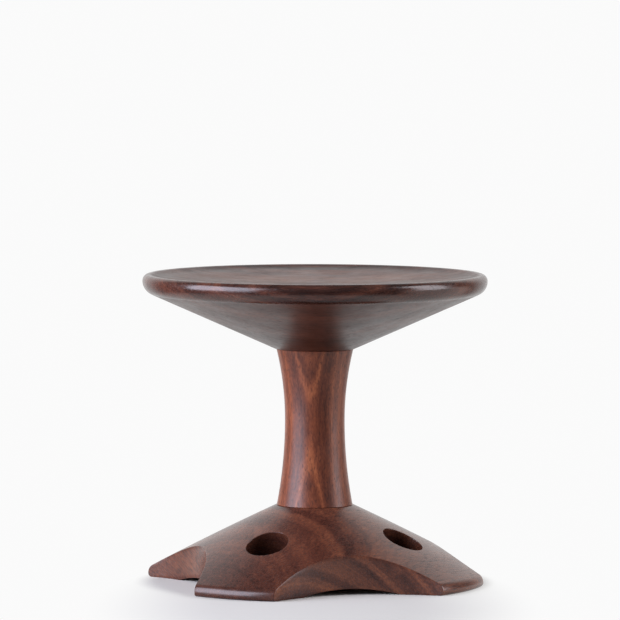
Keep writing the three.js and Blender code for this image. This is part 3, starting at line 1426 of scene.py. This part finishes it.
    def _scallop_spins(self) -> list[float]:
        """Angles round the scallop's centre.

        Returns:
            The angles, from the seam between two feet to the rim's roll.
        """
        sheet_end = self.rim_outs[0]
        angle = self._scallop_angle(sheet_end, self.scallop_radius + self.edge)
        reach = polar(sheet_end, angle) - polar(self.scallop_out, self.half_turn)
        last = math.atan2(reach.y, reach.x)
        if last > 0:
            last -= math.tau
        return even(self.half_turn - math.pi, last, self.scallop_columns)

    def _scallop_edge(self, side: int, turn: float) -> list[tuple[Vector, Vector]]:
        """The scallop's edge, from the seam to the tip of the rim.

        Args:
            side: 1 for the scallop on the foot's left, -1 for the other.
            turn: How far round the eased edge.

        Returns:
            Place in plan and direction into the wood for each point.
        """
        radius = self.scallop_radius + self.edge * (1 - math.sin(turn))
        centre = polar(self.scallop_out, self.half_turn)
        inwards = [polar(1.0, spin) for spin in self._scallop_spins()]
        found = [(centre + inward * radius, inward) for inward in inwards]
        sheet_end = self.rim_outs[0]
        shift = found[-1][0].length - sheet_end
        for out in self.rim_outs[1:]:
            shifted = out + shift * (self.rim - out) / (self.rim - sheet_end)
            place = polar(shifted, self._scallop_angle(shifted, radius))
            found.append((place, (place - centre).normalized()))
        return [(Vector((p.x, side * p.y)), Vector((w.x, side * w.y))) for p, w in found]

    def _scallop_row(self, sheet: Sheet, side: int, turn: float) -> list[Vector]:
        """A row of points on the scallop's eased edge."""
        return [sheet.rolled(place, inward, turn) for place, inward in self._scallop_edge(side, turn)]

    def _tip_row(self, sheet: Sheet, side: int) -> list[Vector]:
        """The points where the scallop's eased edge ends on the rim."""
        return [self._scallop_row(sheet, side, turn)[-1] for turn in self._turns()]

    def _outline(self) -> list[Vector]:
        """Draws the outline of the sheet around the hole, in plan.

        Returns:
            The places, anticlockwise from the rim's roll and back to it.
        """
        seam = self.scallop_columns + 1
        left, right = ([place for place, _ in self._scallop_edge(side, 0.0)[:seam]] for side in (1, -1))
        seams = even(self.collar, left[0].length, self.seam_rows)
        left_seam = [polar(out, self.half_turn) for out in reversed(seams)]
        right_seam = [polar(out, -self.half_turn) for out in seams]
        inner = self._round(self.collar)[::-1]
        loop = self._across(self.rim_outs[0]) + left[::-1][1:] + left_seam[1:] + inner[1:]
        loop += right_seam[1:] + right[1:-1]
        return loop + loop[:1]

    def _ring_rows(self, sheet: Sheet) -> list[list[Vector]]:
        """Rows of points between the hole and the foot's outline.

        Args:
            sheet: Which side.

        Returns:
            The rows, the first and the last of them in narrow strips.
        """
        near = [point.xy for point in self._hole_row(sheet, 0.0)]
        shares = [0.0, self.ring_strip]
        for share in even(0.0, 1.0, self.ring_rows)[1:-1]:
            eased = 3 * share**2 - 2 * share**3
            shares.append(share * (1 - self.ring_crowding) + eased * self.ring_crowding)
        shares += [1 - self.ring_strip, 1.0]
        pairs = list(zip(near, self._outline()))
        return [sheet.points(inner.lerp(outer, share) for inner, outer in pairs) for share in shares]

    def _hole_row(self, sheet: Sheet, turn: float) -> list[Vector]:
        """A row of points on the hole's eased edge, each facing a point of the outline.

        Args:
            sheet: Which side.
            turn: How far round the eased edge.

        Returns:
            The points.
        """
        reach = self.hole_radius + self.edge * (1 - math.sin(turn))
        spins = [math.atan2(place.y, place.x - self.hole_out) for place in self._outline()]
        return [sheet.rolled(*self._bore(spin, reach, sheet), turn) for spin in spins]

    def _bore(self, spin: float, reach: float, sheet: Sheet) -> tuple[Vector, Vector]:
        """A point of a ring round the hole's leaning axis, slid along that axis onto a sheet.

        Args:
            spin: Angle round the axis.
            reach: Distance from the axis.
            sheet: Which side.

        Returns:
            The point in plan, and the direction from the hole's wall into the wood.
        """
        sine, cosine = math.sin(self.hole_lean), math.cos(self.hole_lean)
        axis = Vector((sine, 0.0, cosine))
        inward = Vector((cosine * math.cos(spin), math.sin(spin), -sine * math.cos(spin)))
        point = Vector((self.hole_out, 0.0, self.hole_height)) + inward * reach
        for _ in range(self.slides):
            point -= axis * (point.z - sheet.point(point.xy).z)
        return point.xy, inward


@dataclass(frozen=True)
class Wedges:
    """The two hardwood wedges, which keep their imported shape."""

    names: tuple[str, ...] = ("seat_tenon_wedge", "base_tenon_wedge")

    def build(self) -> None:
        """Gives the wedges their finish."""
        finish = Finish.WEDGE.value.material()
        for name in self.names:
            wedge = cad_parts[name]
            wedge.data.materials.clear()
            wedge.data.materials.append(finish)
            log.info("%s: dressed", name)


def toward(turn: float, rise: float) -> Vector:
    """The direction this many degrees to the camera's right round the stool, and above the floor."""
    angle, lift = CAMERA_TURN + math.radians(turn), math.radians(rise)
    return Vector((math.sin(angle) * math.cos(lift), -math.cos(angle) * math.cos(lift), math.sin(lift)))


@dataclass(frozen=True)
class Softbox:
    """A soft lamp that faces the stool. Its turn and rise are in degrees; its size is width, height."""

    name: str
    turn: float
    rise: float
    reach: float
    size: Point
    power: float
    tint: Triple
    aim_height: float = 0.25

    def build(self) -> None:
        """Hangs the lamp."""
        data = bpy.data.lights.new(self.name, "AREA")
        data.shape = "RECTANGLE"
        data.size, data.size_y = self.size
        data.energy, data.color = self.power, self.tint
        lamp = linked(self.name, data)
        outward = toward(self.turn, self.rise)
        lamp.location = Vector((0.0, 0.0, self.aim_height)) + outward * self.reach
        lamp.rotation_mode = "QUATERNION"
        lamp.rotation_quaternion = outward.to_track_quat("Z", "Y")


@dataclass(frozen=True)
class Camera:
    """The camera, at the photograph's viewing angle."""

    distance: float = 6.1874
    height: float = 0.7424
    pitch: float = math.radians(3.94)
    roll: float = math.radians(0.1)
    aside: float = -5.8 * MM
    lens: float = 311.0
    sensor: float = 36.0
    sight: float = 200.0

    def build(self) -> None:
        """Places the camera."""
        data = bpy.data.cameras.new("camera")
        data.lens, data.sensor_width, data.sensor_fit = self.lens, self.sensor, "HORIZONTAL"
        data.clip_end = self.sight
        camera = linked("camera", data)
        camera.location = toward(0.0, 0.0) * self.distance + Vector((0.0, 0.0, self.height))
        aim = toward(90.0, 0.0) * self.aside
        aim.z = self.height - self.distance * math.tan(self.pitch)
        gaze = (aim - camera.location).to_track_quat("-Z", "Y")
        camera.rotation_mode = "QUATERNION"
        camera.rotation_quaternion = gaze @ Matrix.Rotation(self.roll, 3, "Z").to_quaternion()
        bpy.context.scene.camera = camera


@dataclass(frozen=True)
class Floor:
    """A pale floor, which fades to plain white away from the shadow under the stool.

    The shadow's pool lies ahead of the stool, towards the camera, and is squeezed to an oval. A
    fade is the pair of places, in metres or as a share of the way, between which it happens.
    """

    size: float = 60.0
    pool_ahead: float = 0.25
    pool_squeeze: float = 0.5
    pool_fade: Point = (0.1, 0.26)
    feet_fade: Point = (0.18, 0.212)
    near_fade: Point = (0.45, 0.9)
    behind_fade: Point = (0.5, 0.9)
    beside_fade: Point = (0.8, 0.95)
    seen_grey: float = 0.79
    dim_grey: float = 0.12
    lit_grey: float = 0.45
    tint: Triple = (1.0, 0.99, 0.925)

    def build(self) -> None:
        """Lays the floor."""
        half = self.size / 2
        corners = [(-half, -half, 0), (half, -half, 0), (half, half, 0), (-half, half, 0)]
        floor = mesh_object("floor", corners, [(0, 1, 2, 3)])
        floor.data.materials.append(self._material())

    def _material(self) -> bpy.types.Material:
        """Mixes the floor's paint with the plain white.

        Returns:
            The material.
        """
        material = bpy.data.materials.new("floor")
        bench = Bench.emptied(material)
        facing = bench.mapped(bench.own_place(), "TEXTURE", Rotation=(0.0, 0.0, CAMERA_TURN))
        across, depth, _ = bench.parts(facing)
        from_pool = across.hypot((depth + self.pool_ahead) * self.pool_squeeze)
        from_stool = across.hypot(depth)
        bright = from_pool.rising(*self.pool_fade) * from_stool.rising(*self.feet_fade)
        # Painted light and shade: for bounced and mirrored rays the floor's grey is painted lighter
        # near, behind and beside the stool and darker further ahead of it, and only the lighter part
        # mirrors the white.
        near = 1 - from_stool.rising(*self.near_fade)
        behind = (depth / from_stool.at_least(NEARLY_NOTHING)).rising(*self.behind_fade)
        beside = (across / from_stool.at_least(NEARLY_NOTHING)).rising(*self.beside_fade)
        lit = near.at_least(behind).at_least(beside)
        direct, mirrored = bench.rays()
        seen = (direct + mirrored * lit).at_most(1.0)
        grey = direct * self.seen_grey + (1 - direct) * (self.dim_grey + lit * self.lit_grey)
        paint = bench.add("ShaderNodeBsdfDiffuse", {
            "Color": bench.vector(*(grey * part for part in self.tint)),
        })
        white = bench.add("ShaderNodeEmission", {"Color": (1, 1, 1, 1), "Strength": STUDIO_WHITE})
        sockets = {0: bright * seen, 1: paint.outputs[0], 2: white.outputs[0]}
        mix = bench.add("ShaderNodeMixShader", sockets)
        bench.add("ShaderNodeOutputMaterial", {"Surface": mix.outputs[0]})
        return material


@dataclass(frozen=True)
class Surround:
    """The light round the stool: bright behind it, dim in front, white wherever the camera looks."""

    front_light: float = 0.16
    back_light: float = 0.62
    back_fade: Point = (0.6, 0.92)
    ceiling_fade: Point = (0.55, 0.85)

    def build(self) -> None:
        """Makes it the scene's world."""
        world = bpy.data.worlds.new("surround")
        bench = Bench.emptied(world)
        facing = bench.add("ShaderNodeTexCoord").outputs["Generated"]
        behind = tuple(toward(180.0, 0.0))
        along = bench.add("ShaderNodeVectorMath", {0: facing, 1: behind}, operation="DOT_PRODUCT")
        _, _, up = bench.parts(facing)
        level_length = (1 - up * up).at_least(NEARLY_NOTHING) ** 0.5
        back = (bench.value(along.outputs["Value"]) / level_length).rising(*self.back_fade)
        wall = back * (1 - up.rising(*self.ceiling_fade))
        level = self.front_light + wall * (self.back_light - self.front_light)
        direct, mirrored = bench.rays()
        strength = level + (direct + mirrored * wall) * (STUDIO_WHITE - level)
        sky = bench.add("ShaderNodeBackground", {"Color": (1, 1, 1, 1), "Strength": strength})
        bench.add("ShaderNodeOutputWorld", {"Surface": sky.outputs[0]})
        bpy.context.scene.world = world


@dataclass(frozen=True)
class Studio:
    """The camera, the floor, the surround and the lamps."""

    fittings: tuple[Camera | Floor | Surround | Softbox, ...] = (
        Camera(),
        Floor(),
        Surround(),
        Softbox(
            "key", turn=-65, rise=15, reach=2.2, size=(2.1, 1.9), power=96.0, tint=(0.83, 0.84, 1.0)
        ),
        Softbox(
            "fill", turn=82, rise=21, reach=2.4, size=(1.1, 2.1), power=38.0, tint=(0.95, 0.93, 1.0)
        ),
    )

    def build(self) -> None:
        """Sets up the whole studio."""
        for fitting in self.fittings:
            fitting.build()
        bpy.context.scene.view_settings.view_transform = "Standard"
        log.info("studio: ready")


def main() -> None:
    """Builds the studio and the stool, piece by piece."""
    logging.basicConfig(level=logging.INFO, format="%(name)s: %(message)s")
    lathe = Lathe()
    for part in (Studio(), Seat(lathe), Column(lathe), Base(Repeat()), Wedges()):
        part.build()


if __name__ == "__main__":
    main()
